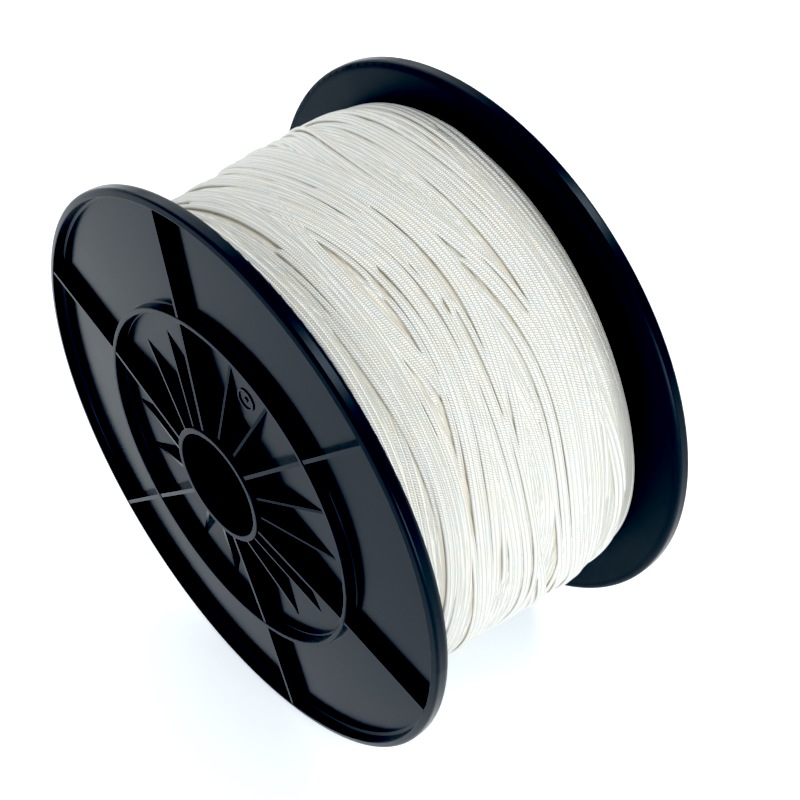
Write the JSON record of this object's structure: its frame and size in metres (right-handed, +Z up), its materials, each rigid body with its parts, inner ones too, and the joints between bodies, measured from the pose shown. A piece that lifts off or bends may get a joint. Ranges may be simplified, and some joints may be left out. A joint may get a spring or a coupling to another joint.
{
  "type": "string reel",
  "caption": "Flanged reel wound full with braided racket string: two ribbed end flanges on a barrel, with a spindle tube through the middle.",
  "frame": {"origin": "middle of the reel, on its axis, half way between the two flanges", "axes": "+Y along the reel's axis towards the rear flange, +Z up, +X sideways; the front flange with its outer face is at -Y"},
  "size_m": [0.141, 0.08, 0.141],
  "materials": {
    "flange_plastic": "glossy black moulding",
    "barrel_plastic": "plain black tube",
    "tube_plastic": "plain black tube",
    "string": "off-white braided string"
  },
  "bodies": {
    "root": {"front_flange": "flange_plastic", "rear_flange": "flange_plastic", "barrel": "barrel_plastic", "spindle_tube": "tube_plastic", "string_winding": "string"}
  },
  "joints": []
}
